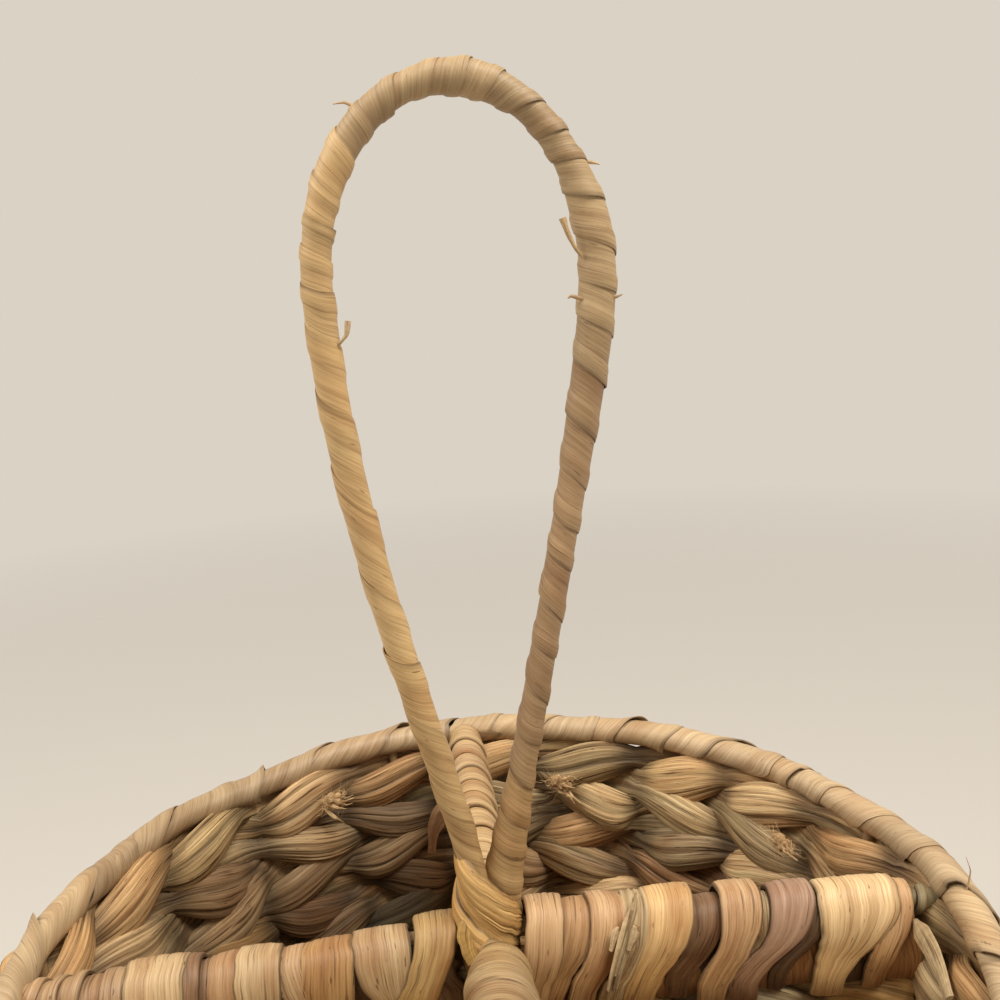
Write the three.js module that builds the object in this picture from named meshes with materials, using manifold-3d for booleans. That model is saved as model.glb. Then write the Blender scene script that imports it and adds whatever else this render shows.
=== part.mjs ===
// Round woven cutlery caddy with four compartments and a drop-shaped carrying loop
import * as THREE from 'three';
import Module from 'manifold-3d';

const wasm = await Module();
wasm.setup();

// Driving dimensions in millimetres
const GAP = 0.3; // clearance left between pieces that touch
const RIM_RADIUS = 100; // centreline of the rim hoop
const RIM_HEIGHT = 130; // centreline of the rim hoop above the table
const RIM_WIRE = 4; // diameter of the hoop wire
const RIM_WRAP = 7.4; // diameter over the wrapping of the rim
const RIM_TURNS = 24; // turns of the rim wrapping
const STAKE_PAIRS = 10; // pairs of wall stakes, one odd stake is added to them
const STAKE_WIRE = 2.5; // diameter of a stake
const STAKE_FOOT_RADIUS = 89; // circle on which the stakes stand
const ROW_COUNT = 11; // twined rows of the wall
const ROW_THICKNESS = 5.2; // strand thickness where it passes a stake
const CROSSING_THICKNESS = 5.8; // strand thickness where it changes sides between two stakes
const CROSSING_SHARE = 0.42; // strand height between two stakes, as a share of its height at a stake
const RIM_SPACE = 1.6; // open space between the top row and the rim wrapping
const BASE_EDGE = 5; // thickness of the base mat under the wall
const BASE_HEIGHT = 9; // thickness of the base mat inside the wall
const BASE_BEVEL = [3, 1.5]; // width and height of the bevel under the edge of the base mat
const BASE_ROUND = 1.2; // bevel on top of that edge
const BASE_GROOVE = 0.8; // depth between two rings of weaving on the base mat
const BASE_OVERHANG = 6; // edge of the base mat beyond the circle of the stakes
const BASE_RIDGES = 5; // rings of weaving that show on the base mat
const BASE_WIRE = 3; // diameter of the base ring
const CROSS_WIRE = 2.5; // diameter of the bars across the base
const RAIL_WIRE = 4; // diameter of a divider rail
const RAIL_DROP = 3.5; // rail centreline below the rim centreline, at the rim
const RAIL_CROWN = 2; // rail centreline above the rim centreline, in the middle
const SIDE_ROLL = [16, 29]; // width and height over the wrapping of the left and right rails
const FRONT_ROLL = [14.4, 16]; // width and height over the wrapping of the front rail
const BACK_ROLL = [11, 13]; // width and height over the wrapping of the back rail
const ROLL_CROWN = 5.5; // top of the front and back wrapping above the top of their rails
const RIGHT_CROWN = 4.5; // the same for the right rail
const LEFT_CROWN = 2.5; // the same for the left rail
const ROLL_START = 9; // where the rail wrapping starts, from the middle
const FRONT_START = 15.5; // where it starts on the front rail, clear of the binding
const RAIL_TURNS = 6; // turns of each rail wrapping
const LASHING_LENGTH = 7; // tie between the rail wrapping and the rim
const LASHING = 8; // diameter of that tie
const LASHING_TAPER = 0.6; // how far the tie falls towards its two ends
const PANEL_THICKNESS = 9; // divider panel over the ridges of its weaving
const PANEL_GROOVE = 1.4; // depth between two rows of that weaving
const PANEL_ROWS = 7; // rows of weaving in a divider panel
const HAIRPIN_WIRE = 2.5; // diameter of the bent wire in a panel
const HAIRPIN_LEGS = [0.32, 0.7]; // where its two legs stand, as shares of the panel's length
const HAIRPIN_LIFT = 12; // where its bends start, above the foot of the panel
const HAIRPIN_BEND = 6; // radius of its bends
const HANDLE_WIRE = 3.6; // diameter of the handle wire
const HANDLE_WRAP = 6.8; // diameter over the wrapping of the handle
const HANDLE_TURNS = 24; // turns of the handle wrapping
const LEG_SPACE = 0.4; // space between the two legs in the middle
const LOOP_HALF_WIDTH = 25.6; // centreline of the loop, from the middle to its widest place
const SHOULDER_HEIGHT = 136; // widest place of the loop above the rim centreline
const LOOP_RISE = 34.8; // apex centreline above the widest place
const LOOP_OFFSET = 2.4; // how far the loop leans to the right at its widest place
const LOOP_SPREAD = 0.04; // where the legs start to spread, as a share of the shoulder height
const LEFT_PULLS = [0.21, 0.6]; // where the curve of the left leg is pulled towards, as shares of it too
const RIGHT_PULLS = [0.11, 0.86]; // the same for the right leg
const BINDING_START = 4.4; // lower end of the binding above the rim centreline
const BINDING_HEIGHT = 10.5; // height of the binding
const BINDING_TURNS = 2; // turns of the binding strip
const BINDING_THICKNESS = 1.2; // thickness of the binding strip
const BINDING_ROOM = [1.13, 1.4]; // how much wider and deeper the binding is than the two legs in it
const HOLE_ROOM = 1.42; // corner width of a four-sided hole that clears a round wire
const HOLE_RUN = 4; // how far a hole is drawn out past the face that it opens in

// Fineness of the round shapes
const WIRE_SIDES = 6;
const BAR_SIDES = 8;
const HOLE_SIDES = 4;
const HOOP_STEPS = 48;
const RING_STEPS = 36;
const MAT_STEPS = 28;
const TIE_STEPS = 10;
const TURN_STEPS = 8;
const BEND_STEPS = 3;
const LOOP_STEPS = 12;
const PATH_STEPS = 4000;

// Derived dimensions
const stakeCount = 2 * STAKE_PAIRS + 1;
const baseRadius = STAKE_FOOT_RADIUS + BASE_OVERHANG;
const stakeTop = RIM_HEIGHT - RIM_WIRE / 2 - GAP;
const stakeFoot = BASE_EDGE + GAP;
const lean = Math.atan2(RIM_RADIUS - STAKE_FOOT_RADIUS, stakeTop - stakeFoot);
const ringHeight = BASE_EDGE + GAP + BASE_WIRE / 2;
const ringRadius = STAKE_FOOT_RADIUS - STAKE_WIRE / 2 - GAP - BASE_WIRE / 2;
const rowsBottom = Math.max(BASE_HEIGHT, BASE_EDGE + GAP + BASE_WIRE) + GAP;
const rowsTop = RIM_HEIGHT - RIM_WRAP / 2 - RIM_SPACE;
const rowPitch = (rowsTop - rowsBottom) / ROW_COUNT;
const rowReach = ROW_THICKNESS / 2 + GAP + STAKE_WIRE / 2;
const wallHalf = rowReach + ROW_THICKNESS / 2;
const railSlope = Math.atan2(RAIL_DROP + RAIL_CROWN, RIM_RADIUS);
const legX = (HANDLE_WIRE + LEG_SPACE) / 2;

// Colours
function paint(color, roughness, metalness) {
  return new THREE.MeshStandardMaterial({ color, roughness, metalness });
}

const steel = paint(0x8d8f90, 0.45, 0.9);
const straw = paint(0xc9a872, 0.7, 0);
const golden = paint(0xc29a5c, 0.7, 0);
const pale = paint(0xd3b98a, 0.7, 0);
const stem = paint(0xa58c60, 0.8, 0);
const shade = paint(0x8b7550, 0.8, 0);

const group = new THREE.Group();
group.name = 'cutlery_caddy';

function add(name, geometry, material) {
  const mesh = new THREE.Mesh(geometry, material);
  mesh.name = name;
  group.add(mesh);
}

// Stake line: radius at a height above the table
function stakeRadius(z) {
  return STAKE_FOOT_RADIUS + (z - stakeFoot) * Math.tan(lean);
}

// Rail line: height at a distance from the middle
function railHeight(x) {
  return RIM_HEIGHT + RAIL_CROWN - x * Math.tan(railSlope);
}

// Solid helpers
function welded(geometry) {
  const source = geometry.index ? geometry.toNonIndexed() : geometry;
  const position = source.getAttribute('position');
  const found = new Map();
  const points = [];
  const faces = [];
  for (let i = 0; i < position.count; i += 3) {
    const face = [0, 1, 2].map((k) => {
      const p = [position.getX(i + k), position.getY(i + k), position.getZ(i + k)];
      const key = p.map((v) => Math.round(v * 1e4)).join(',');
      if (!found.has(key)) {
        found.set(key, points.length / 3);
        points.push(...p);
      }
      return found.get(key);
    });
    if (new Set(face).size === 3) faces.push(...face);
  }
  return { points: new Float32Array(points), faces: new Uint32Array(faces) };
}

function toSolid(geometry) {
  const { points, faces } = welded(geometry);
  return new wasm.Manifold(new wasm.Mesh({ numProp: 3, vertProperties: points, triVerts: faces }));
}

function toGeometry(solid) {
  const mesh = solid.getMesh();
  const geometry = new THREE.BufferGeometry();
  const points = new Float32Array(mesh.numVert * 3);
  for (let i = 0; i < mesh.numVert; i += 1) {
    for (let k = 0; k < 3; k += 1) points[3 * i + k] = mesh.vertProperties[i * mesh.numProp + k];
  }
  geometry.setAttribute('position', new THREE.BufferAttribute(points, 3));
  geometry.setIndex(new THREE.BufferAttribute(new Uint32Array(mesh.triVerts), 1));
  const flat = geometry.toNonIndexed();
  flat.computeVertexNormals();
  return flat;
}

function cut(geometry, tools) {
  let solid = toSolid(geometry);
  for (const tool of tools) solid = solid.subtract(toSolid(tool));
  return toGeometry(solid);
}

// Skin over a row of sections, each a ring of points that runs the same way round
function skin(sections, closed) {
  const size = sections[0].length;
  const points = [];
  const put = (...corner) => corner.forEach((p) => points.push(p.x, p.y, p.z));
  const last = closed ? sections.length : sections.length - 1;
  for (let i = 0; i < last; i += 1) {
    const from = sections[i];
    const to = sections[(i + 1) % sections.length];
    for (let k = 0; k < size; k += 1) {
      const n = (k + 1) % size;
      put(from[k], from[n], to[n]);
      put(from[k], to[n], to[k]);
    }
  }
  if (!closed) {
    const first = sections[0];
    const end = sections[sections.length - 1];
    for (let k = 1; k < size - 1; k += 1) {
      put(first[0], first[k + 1], first[k]);
      put(end[0], end[k], end[k + 1]);
    }
  }
  const geometry = new THREE.BufferGeometry();
  geometry.setAttribute('position', new THREE.Float32BufferAttribute(points, 3));
  geometry.computeVertexNormals();
  return geometry;
}

// Straight bar between two points
function bar(from, to, diameter, sides) {
  const along = new THREE.Vector3().subVectors(to, from);
  const geometry = new THREE.CylinderGeometry(diameter / 2, diameter / 2, along.length(), sides);
  const axis = new THREE.Vector3(0, 1, 0);
  geometry.applyQuaternion(new THREE.Quaternion().setFromUnitVectors(axis, along.clone().normalize()));
  geometry.translate((from.x + to.x) / 2, (from.y + to.y) / 2, (from.z + to.z) / 2);
  return geometry;
}

// Bent wire through points that lie in one plane, mitred at each
function bentWire(points, normal, diameter, sides) {
  const sections = points.map((point, i) => {
    const last = points[Math.max(i - 1, 0)];
    const next = points[Math.min(i + 1, points.length - 1)];
    const before = new THREE.Vector3().subVectors(point, last).normalize();
    const after = new THREE.Vector3().subVectors(next, point).normalize();
    const tangent = before.clone().add(after).normalize();
    const across = new THREE.Vector3().crossVectors(normal, tangent);
    const straight = i === 0 || i === points.length - 1;
    const mitre = straight ? 1 : 1 / tangent.dot(after);
    const ring = [];
    for (let k = 0; k < sides; k += 1) {
      const angle = (2 * Math.PI * (k + 0.5)) / sides;
      const place = point.clone().addScaledVector(across, (diameter / 2) * mitre * Math.cos(angle));
      ring.push(place.addScaledVector(normal, (diameter / 2) * Math.sin(angle)));
    }
    return ring;
  });
  return skin(sections, false);
}

// Upright path drawn as width and height, used for the handle
class UprightPath extends THREE.Curve {
  constructor(flat) {
    super();
    this.flat = flat;
  }

  getPoint(t) {
    const p = this.flat.getPointAt(Math.min(Math.max(t, 0), 1));
    return new THREE.Vector3(p.x, 0, p.y);
  }
}

// Strip wound over a core along a path that lies in one plane; bend is the tightest radius of that path
function winding(name, path, normal, [from, to], turns, core, outer, bend, endless = false) {
  const length = path.getLength();
  const parts = Number.isFinite(bend) ? 2 : 1;
  const pitch = (to - from) / (endless ? turns : turns + 1);
  const width = pitch - 2 * GAP;
  const sag = (width / parts) ** 2 / 8 / bend;
  const inner = core.map((semi) => (semi + GAP + sag) / Math.cos(Math.PI / TURN_STEPS));
  const spot = (u, angle, semi) => {
    const share = u / length;
    const t = endless ? share - Math.floor(share) : Math.min(Math.max(share, 0), 1);
    const across = new THREE.Vector3().crossVectors(normal, path.getTangentAt(t)).normalize();
    const point = path.getPointAt(t).clone();
    point.addScaledVector(across, semi[0] * Math.cos(angle));
    return point.addScaledVector(normal, semi[1] * Math.sin(angle));
  };
  const sections = [];
  const rear = [];
  const front = [];
  const steps = turns * TURN_STEPS + (endless ? 0 : 1);
  for (let i = 0; i < steps; i += 1) {
    const angle = (2 * Math.PI * i) / TURN_STEPS;
    const low = from + pitch / 2 + (pitch * i) / TURN_STEPS - width / 2;
    const under = [];
    const over = [];
    for (let k = 0; k <= parts; k += 1) {
      under.push(spot(low + (width * k) / parts, angle, inner));
      over.unshift(spot(low + (width * k) / parts, angle, outer));
    }
    sections.push([...under, ...over]);
    rear.push({ step: i, point: under[0] }, { step: i, point: over[parts] });
    front.push({ step: i, point: under[parts] }, { step: i, point: over[0] });
  }
  let least = Infinity;
  for (const a of rear) {
    for (const b of front) {
      const along = Math.abs(a.step - b.step);
      const apart = endless ? Math.min(along, steps - along) : along;
      if (apart >= TURN_STEPS / 2) least = Math.min(least, a.point.distanceTo(b.point));
    }
  }
  console.log(`${name}: least gap between turns ${least.toFixed(2)} mm`);
  return skin(sections, endless);
}

const up = new THREE.Vector3(0, 0, 1);
const facing = new THREE.Vector3(0, 1, 0);

// Rim hoop and wall stakes
const hoop = new THREE.TorusGeometry(RIM_RADIUS, RIM_WIRE / 2, WIRE_SIDES, HOOP_STEPS);
hoop.translate(0, 0, RIM_HEIGHT);
add('rim_hoop', hoop, steel);

const stakeHoles = [];
for (let i = 0; i < stakeCount; i += 1) {
  const angle = (2 * Math.PI * i) / stakeCount;
  const out = new THREE.Vector3(Math.cos(angle), Math.sin(angle), 0);
  const at = (z) => out.clone().multiplyScalar(stakeRadius(z)).addScaledVector(up, z);
  const number = String(i + 1).padStart(2, '0');
  add(`wall_stake_${number}`, bar(at(stakeFoot), at(stakeTop), STAKE_WIRE, WIRE_SIDES), steel);
  const width = HOLE_ROOM * STAKE_WIRE + 2 * GAP;
  stakeHoles.push(bar(at(RIM_HEIGHT - RIM_WRAP), at(RIM_HEIGHT), width, HOLE_SIDES));
}

// Twined wall rows: one strand goes round twice and changes sides at every stake
for (let row = 0; row < ROW_COUNT; row += 1) {
  const z = rowsBottom + rowPitch * (row + 0.5);
  const twist = row % 2 === 0 ? 1 : -1;
  const band = (rowPitch - GAP) / 2 / Math.cos(lean);
  const thinHalf = CROSSING_SHARE * band;
  const rise = band - thinHalf;
  const steps = 4 * stakeCount;
  const sections = [];
  const middles = [];
  for (let i = 0; i < steps; i += 1) {
    const angle = (4 * Math.PI * i) / steps;
    const phase = (Math.PI * i) / 2;
    const out = new THREE.Vector3(Math.cos(angle), Math.sin(angle), 0);
    const normal = out.clone().multiplyScalar(Math.cos(lean)).addScaledVector(up, -Math.sin(lean));
    const upward = out.clone().multiplyScalar(Math.sin(lean)).addScaledVector(up, Math.cos(lean));
    const centre = out.clone().multiplyScalar(stakeRadius(z)).addScaledVector(up, z);
    centre.addScaledVector(normal, rowReach * Math.cos(phase));
    centre.addScaledVector(upward, twist * rise * Math.sin(phase));
    const atStake = i % 2 === 0;
    const thick = (atStake ? ROW_THICKNESS : CROSSING_THICKNESS) / 2;
    const tall = atStake ? band : thinHalf;
    sections.push([
      centre.clone().addScaledVector(normal, thick),
      centre.clone().addScaledVector(upward, -tall),
      centre.clone().addScaledVector(normal, -thick),
      centre.clone().addScaledVector(upward, tall),
    ]);
    middles.push({ centre, thick, tall, normal, upward });
  }
  let least = Infinity;
  for (let i = 0; i < steps / 2; i += 1) {
    for (const share of [0, 0.25, 0.5, 0.75]) {
      const mix = (list, key) => list[0][key] * (1 - share) + list[1][key] * share;
      const near = [middles[i], middles[(i + 1) % steps]];
      const far = [middles[i + steps / 2], middles[(i + 1 + steps / 2) % steps]];
      const apart = near[0].centre.clone().lerp(near[1].centre, share);
      apart.sub(far[0].centre.clone().lerp(far[1].centre, share));
      const thick = mix(near, 'thick');
      const tall = mix(near, 'tall');
      const x = Math.abs(apart.dot(near[0].normal));
      const y = Math.abs(apart.dot(near[0].upward));
      least = Math.min(least, (x * tall + y * thick - 2 * thick * tall) / Math.hypot(thick, tall));
    }
  }
  console.log(`wall_row_${row + 1}: least gap between its two rounds ${least.toFixed(2)} mm`);
  add(`wall_row_${row + 1}`, skin(sections, true), row % 2 === 0 ? stem : shade);
}

// Base ring, cross and mat
const baseRing = new THREE.TorusGeometry(ringRadius, BASE_WIRE / 2, WIRE_SIDES, RING_STEPS);
baseRing.translate(0, 0, ringHeight);
add('base_ring', baseRing, steel);

const crossReach = ringRadius - BASE_WIRE / 2 - GAP;
const crossBars = (reach, diameter) => {
  const along = new THREE.Vector3(reach, 0, ringHeight);
  const over = new THREE.Vector3(0, reach, ringHeight);
  const first = bar(new THREE.Vector3(-along.x, 0, along.z), along, diameter, BAR_SIDES);
  const second = bar(new THREE.Vector3(0, -over.y, over.z), over, diameter, BAR_SIDES);
  return toSolid(first).add(toSolid(second));
};
add('base_cross', toGeometry(crossBars(crossReach, CROSS_WIRE)), steel);

const matInner = ringRadius - BASE_WIRE / 2 - 4 * GAP;
const profile = [
  new THREE.Vector2(0, 0),
  new THREE.Vector2(baseRadius - BASE_BEVEL[0], 0),
  new THREE.Vector2(baseRadius, BASE_BEVEL[1]),
  new THREE.Vector2(baseRadius, BASE_EDGE - BASE_ROUND),
  new THREE.Vector2(baseRadius - BASE_ROUND, BASE_EDGE),
  new THREE.Vector2(matInner, BASE_EDGE),
];
for (let i = 0; i < BASE_RIDGES; i += 1) {
  const valley = matInner * (1 - i / BASE_RIDGES);
  const crest = matInner * (1 - (i + 0.5) / BASE_RIDGES);
  profile.push(new THREE.Vector2(valley, BASE_HEIGHT - BASE_GROOVE));
  profile.push(new THREE.Vector2(crest, BASE_HEIGHT));
}
profile.push(new THREE.Vector2(0, BASE_HEIGHT - BASE_GROOVE));
const mat = new THREE.LatheGeometry(profile, MAT_STEPS);
mat.rotateX(Math.PI / 2);
const channel = toGeometry(crossBars(crossReach + 2 * GAP, CROSS_WIRE + 2 * GAP));
add('base_mat', cut(mat, [channel]), stem);

// Four dividers, drawn along +X and turned to their places
const railEnd = RIM_RADIUS - RIM_WIRE / 2 - GAP;
const wallFace = stakeRadius(rowsTop) - wallHalf / Math.cos(lean);
const lashingEnd = Math.min(RIM_RADIUS - RIM_WRAP / 2, wallFace) - GAP;
const lashingStart = lashingEnd - LASHING_LENGTH;
const rollEnd = lashingStart - GAP;
const railHoles = [];
const dividers = [
  ['right', 0, legX + HANDLE_WIRE / 2 + GAP, SIDE_ROLL, ROLL_START, RIGHT_CROWN],
  ['back', Math.PI / 2, HANDLE_WIRE / 2 + GAP, BACK_ROLL, ROLL_START, ROLL_CROWN],
  ['left', Math.PI, legX + HANDLE_WIRE / 2 + GAP, SIDE_ROLL, ROLL_START, LEFT_CROWN],
  ['front', 1.5 * Math.PI, HANDLE_WIRE / 2 + GAP, FRONT_ROLL, FRONT_START, ROLL_CROWN],
];
for (const [name, turn, start, roll, rollStart, crown] of dividers) {
  const place = (geometry) => geometry.rotateZ(turn);
  const at = (x) => new THREE.Vector3(x, 0, railHeight(x));

  add(`divider_rail_${name}`, place(bar(at(start), at(railEnd), RAIL_WIRE, BAR_SIDES)), steel);
  const width = HOLE_ROOM * RAIL_WIRE + 2 * GAP;
  railHoles.push(place(bar(at(lashingEnd - RIM_WRAP), at(RIM_RADIUS), width, HOLE_SIDES)));

  const square = new THREE.Vector3(Math.sin(railSlope), 0, Math.cos(railSlope));
  const semi = roll.map((size) => size / 2);
  const sag = semi[1] - crown - RAIL_WIRE / 2;
  const hung = (x) => at(x).addScaledVector(square, -sag);
  const rail = new THREE.LineCurve3(hung(0), hung(railEnd));
  const coreHeight = RAIL_WIRE / 2 + Math.abs(sag);
  const coreWidth = Math.sqrt((coreHeight * RAIL_WIRE) / 2);
  const label = `divider_wrap_${name}`;
  const wound = winding(
    label, rail, square, [rollStart, rollEnd], RAIL_TURNS, [coreWidth, coreHeight], semi, Infinity,
  );
  add(label, place(wound), golden);

  const inner = RAIL_WIRE / 2 + GAP;
  const barrel = [
    new THREE.Vector2(inner, 0),
    new THREE.Vector2(LASHING / 2 - LASHING_TAPER, 0),
    new THREE.Vector2(LASHING / 2, LASHING_LENGTH / 2),
    new THREE.Vector2(LASHING / 2 - LASHING_TAPER, LASHING_LENGTH),
    new THREE.Vector2(inner, LASHING_LENGTH),
    new THREE.Vector2(inner, 0),
  ];
  const lashing = new THREE.LatheGeometry(barrel, TIE_STEPS);
  lashing.rotateZ(-Math.PI / 2);
  lashing.rotateY(railSlope);
  lashing.translate(lashingStart, 0, railHeight(lashingStart));
  add(`divider_lashing_${name}`, place(lashing), shade);

  const panelTop = (x) => railHeight(x) - (sag + semi[1] + GAP) / Math.cos(railSlope);
  const panelBottom = BASE_HEIGHT + GAP;
  const panelStart = Math.max(start, PANEL_THICKNESS / 2) + GAP;
  const panelEnd = (z) => stakeRadius(z) - (wallHalf + GAP) / Math.cos(lean);
  const outline = [];
  for (let i = 0; i <= 2 * PANEL_ROWS; i += 1) {
    const half = PANEL_THICKNESS / 2 - (i % 2 === 0 ? PANEL_GROOVE : 0);
    outline.push(new THREE.Vector2(half, i / (2 * PANEL_ROWS)));
  }
  const flat = [...outline, ...outline.slice().reverse().map((p) => new THREE.Vector2(-p.x, p.y))];
  const stand = (share, top) => panelBottom + share * (top - panelBottom);
  const nearTop = panelTop(panelStart);
  const farTop = panelTop(panelEnd(panelTop(rollEnd)));
  const nearEnd = flat.map((p) => new THREE.Vector3(panelStart, p.x, stand(p.y, nearTop)));
  const farEnd = flat.map((p) => new THREE.Vector3(panelEnd(stand(p.y, farTop)), p.x, stand(p.y, farTop)));
  const corners = [];
  const put = (...list) => list.forEach((p) => corners.push(p.x, p.y, p.z));
  for (let k = 0; k < flat.length; k += 1) {
    const n = (k + 1) % flat.length;
    put(nearEnd[k], nearEnd[n], farEnd[n]);
    put(nearEnd[k], farEnd[n], farEnd[k]);
  }
  for (const [a, b, c] of THREE.ShapeUtils.triangulateShape(flat, [])) {
    put(nearEnd[a], nearEnd[c], nearEnd[b]);
    put(farEnd[a], farEnd[b], farEnd[c]);
  }
  const panel = new THREE.BufferGeometry();
  panel.setAttribute('position', new THREE.Float32BufferAttribute(corners, 3));

  const span = panelEnd(panelBottom) - panelStart;
  const legs = HAIRPIN_LEGS.map((share) => panelStart + span * share);
  const bend = panelBottom + HAIRPIN_LIFT;
  const pinPoints = (above) => {
    const points = [new THREE.Vector3(legs[0], 0, panelTop(legs[0]) + above)];
    for (const [x, side] of [[legs[0], 1], [legs[1], -1]]) {
      for (let i = 0; i <= BEND_STEPS; i += 1) {
        const angle = ((side > 0 ? i : BEND_STEPS - i) * Math.PI) / 2 / BEND_STEPS;
        const reach = side * HAIRPIN_BEND * (1 - Math.cos(angle));
        points.push(new THREE.Vector3(x + reach, 0, bend + HAIRPIN_BEND * (1 - Math.sin(angle))));
      }
    }
    points.push(new THREE.Vector3(legs[1], 0, panelTop(legs[1]) + above));
    return points;
  };
  const hole = bentWire(pinPoints(HOLE_RUN), facing, HAIRPIN_WIRE + 2 * GAP, WIRE_SIDES);
  add(`divider_panel_${name}`, place(cut(panel, [hole])), stem);
  const hairpin = bentWire(pinPoints(-GAP), facing, HAIRPIN_WIRE, WIRE_SIDES);
  add(`divider_hairpin_${name}`, place(hairpin), steel);
}

// Rim wrapping, open where the stakes and rails reach the hoop
const rimPath = new THREE.EllipseCurve(0, 0, RIM_RADIUS, RIM_RADIUS, Math.PI / 2, 2.5 * Math.PI);
class Level extends THREE.Curve {
  getPoint(t) {
    const p = rimPath.getPointAt(t);
    return new THREE.Vector3(p.x, p.y, RIM_HEIGHT);
  }
}
const rimLine = new Level();
const rimBand = winding(
  'rim_wrap', rimLine, up, [0, 2 * Math.PI * RIM_RADIUS], RIM_TURNS,
  [RIM_WIRE / 2, RIM_WIRE / 2], [RIM_WRAP / 2, RIM_WRAP / 2], RIM_RADIUS, true,
);
add('rim_wrap', cut(rimBand, [...stakeHoles, ...railHoles]), pale);

// Handle: two legs up the middle that spread into a drop-shaped loop
const shoulder = RIM_HEIGHT + SHOULDER_HEIGHT;
const spread = RIM_HEIGHT + LOOP_SPREAD * SHOULDER_HEIGHT;
const legFoot = BASE_HEIGHT + GAP;
const drawing = new THREE.Path();
drawing.moveTo(-legX, legFoot);
drawing.lineTo(-legX, spread);
const pulls = (shares) => shares.map((share) => RIM_HEIGHT + share * SHOULDER_HEIGHT);
const [leftLow, leftHigh] = pulls(LEFT_PULLS);
const [rightLow, rightHigh] = pulls(RIGHT_PULLS);
const leftSide = LOOP_OFFSET - LOOP_HALF_WIDTH;
const rightSide = LOOP_OFFSET + LOOP_HALF_WIDTH;
drawing.bezierCurveTo(-legX, leftLow, leftSide, leftHigh, leftSide, shoulder);
drawing.absellipse(LOOP_OFFSET, shoulder, LOOP_HALF_WIDTH, LOOP_RISE, Math.PI, 0, true);
drawing.bezierCurveTo(rightSide, rightHigh, legX, rightLow, legX, spread);
drawing.lineTo(legX, legFoot);
const handlePath = new UprightPath(drawing);
const bends = drawing.getPoints(LOOP_STEPS).map((p) => new THREE.Vector3(p.x, 0, p.y));
add('handle_wire', bentWire(bends, facing, HANDLE_WIRE, WIRE_SIDES), steel);

// The wrapping runs where the path is clear of the binding and each leg is clear of the other
const bindingTop = RIM_HEIGHT + BINDING_START + BINDING_HEIGHT;
const handleLength = handlePath.getLength();
let wrapStart = handleLength;
let wrapEnd = 0;
let legReach = 0;
for (let i = 0; i <= PATH_STEPS; i += 1) {
  const p = handlePath.getPointAt(i / PATH_STEPS);
  const apart = Math.abs(p.x) > HANDLE_WRAP / 2 + 2 * GAP;
  if (p.z < bindingTop) {
    legReach = Math.max(legReach, Math.abs(p.x));
  } else if (apart) {
    wrapStart = Math.min(wrapStart, (handleLength * i) / PATH_STEPS);
    wrapEnd = Math.max(wrapEnd, (handleLength * i) / PATH_STEPS);
  }
}
const handleBand = winding(
  'handle_wrap', handlePath, facing, [wrapStart, wrapEnd], HANDLE_TURNS,
  [HANDLE_WIRE / 2, HANDLE_WIRE / 2], [HANDLE_WRAP / 2, HANDLE_WRAP / 2],
  Math.min(LOOP_HALF_WIDTH ** 2 / LOOP_RISE, LOOP_RISE ** 2 / LOOP_HALF_WIDTH),
);
add('handle_wrap', handleBand, straw);

// Binding round both legs, wide enough for them where they start to spread
const bindingFrom = new THREE.Vector3(0, 0, bindingTop - BINDING_HEIGHT);
const bindingTo = new THREE.Vector3(0, 0, bindingTop);
const bindingPath = new THREE.LineCurve3(bindingFrom, bindingTo);
const ovalWidth = (legReach + HANDLE_WIRE / 2) * BINDING_ROOM[0];
const ovalDepth = (HANDLE_WIRE / 2) * BINDING_ROOM[1];
const coat = 3 * GAP + BINDING_THICKNESS;
const bindingBand = winding(
  'handle_binding', bindingPath, facing, [0, BINDING_HEIGHT], BINDING_TURNS,
  [ovalWidth, ovalDepth], [ovalWidth + coat, ovalDepth + coat], Infinity,
);
add('handle_binding', bindingBand, golden);

export default group;
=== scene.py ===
"""Looks of the woven cutlery caddy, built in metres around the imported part."""

import math

import bpy
import numpy as np
from mathutils import Matrix, Vector


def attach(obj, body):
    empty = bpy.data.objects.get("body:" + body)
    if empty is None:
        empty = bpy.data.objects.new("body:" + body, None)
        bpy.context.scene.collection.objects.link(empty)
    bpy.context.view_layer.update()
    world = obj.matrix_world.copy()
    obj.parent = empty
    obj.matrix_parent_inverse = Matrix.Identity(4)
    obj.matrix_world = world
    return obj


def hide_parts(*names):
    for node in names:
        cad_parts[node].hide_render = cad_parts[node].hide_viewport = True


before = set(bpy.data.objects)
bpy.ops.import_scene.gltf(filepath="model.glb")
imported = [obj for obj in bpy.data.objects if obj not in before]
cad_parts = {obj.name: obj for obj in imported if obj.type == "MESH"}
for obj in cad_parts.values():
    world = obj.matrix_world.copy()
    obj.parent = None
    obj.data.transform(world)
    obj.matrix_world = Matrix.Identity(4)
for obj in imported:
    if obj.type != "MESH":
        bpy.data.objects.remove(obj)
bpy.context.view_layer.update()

MM = 0.001

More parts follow.
